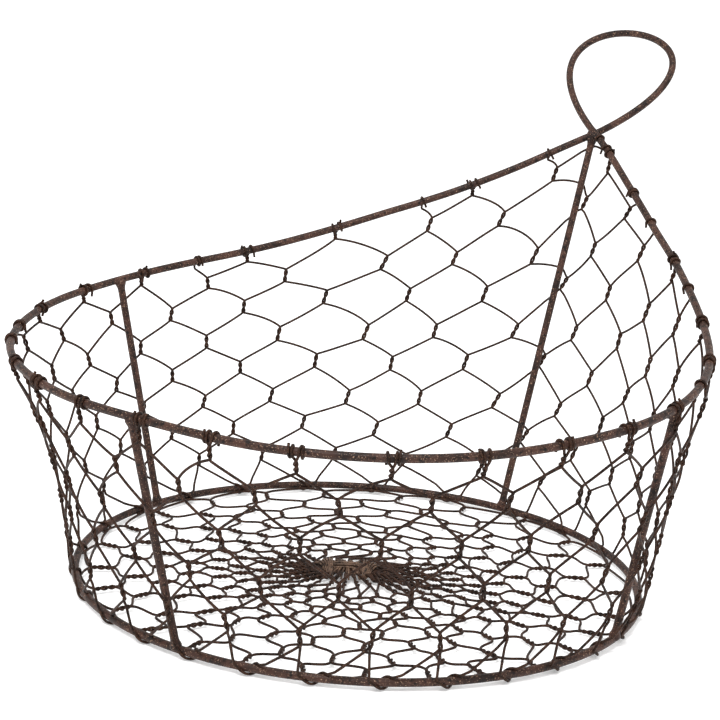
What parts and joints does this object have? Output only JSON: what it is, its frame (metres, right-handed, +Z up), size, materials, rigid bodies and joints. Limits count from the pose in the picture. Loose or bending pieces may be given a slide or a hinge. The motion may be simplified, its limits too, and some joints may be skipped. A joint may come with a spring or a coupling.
{
  "type": "egg collection basket",
  "caption": "Round wire basket with hexagonal netting walls and floor and a scooped rim that rises at the back into a hanging loop, for gathering eggs.",
  "frame": {"origin": "middle of the whole basket's footprint, on the surface it rests on", "axes": "+Z up, +Y towards the high back with the hanging loop, +X to the right of someone at the low front looking to the back"},
  "size_m": [0.2804, 0.345, 0.2184],
  "materials": {
    "rod_steel": "satin rust-brown coating, lightly speckled and worn",
    "netting_steel": "satin rust-brown coating",
    "tie_steel": "satin rust-brown coating"
  },
  "bodies": {
    "root": {"base_ring": "rod_steel", "rim_and_loop": "rod_steel", "upright_front": "rod_steel", "upright_right": "rod_steel", "upright_back": "rod_steel", "upright_left": "rod_steel", "netting_wire_01": "netting_steel", "netting_wire_02": "netting_steel", "netting_wire_03": "netting_steel", "netting_wire_04": "netting_steel", "netting_wire_05": "netting_steel", "netting_wire_06": "netting_steel", "netting_wire_07": "netting_steel", "netting_wire_08": "netting_steel", "netting_wire_09": "netting_steel", "netting_wire_10": "netting_steel", "netting_wire_11": "netting_steel", "netting_wire_12": "netting_steel", "netting_wire_13": "netting_steel", "netting_wire_14": "netting_steel", "netting_wire_15": "netting_steel", "netting_wire_16": "netting_steel", "netting_wire_17": "netting_steel", "netting_wire_18": "netting_steel", "netting_wire_19": "netting_steel", "netting_wire_20": "netting_steel", "netting_wire_21": "netting_steel", "netting_wire_22": "netting_steel", "netting_wire_23": "netting_steel", "netting_wire_24": "netting_steel", "netting_wire_25": "netting_steel", "netting_wire_26": "netting_steel", "netting_wire_27": "netting_steel", "netting_wire_28": "netting_steel", "netting_wire_29": "netting_steel", "netting_wire_30": "netting_steel", "netting_wire_31": "netting_steel", "netting_wire_32": "netting_steel", "netting_wire_33": "netting_steel", "netting_wire_34": "netting_steel", "netting_wire_35": "netting_steel", "netting_wire_36": "netting_steel", "netting_wire_37": "netting_steel", "netting_wire_38": "netting_steel", "netting_wire_39": "netting_steel", "netting_wire_40": "netting_steel", "netting_wire_41": "netting_steel", "netting_wire_42": "netting_steel", "netting_wire_43": "netting_steel", "netting_wire_44": "netting_steel", "netting_wire_45": "netting_steel", "netting_wire_46": "netting_steel", "netting_wire_47": "netting_steel", "netting_wire_48": "netting_steel", "netting_wire_49": "netting_steel", "netting_wire_50": "netting_steel", "netting_wire_51": "netting_steel", "netting_wire_52": "netting_steel", "centre_tie": "tie_steel"}
  },
  "joints": []
}
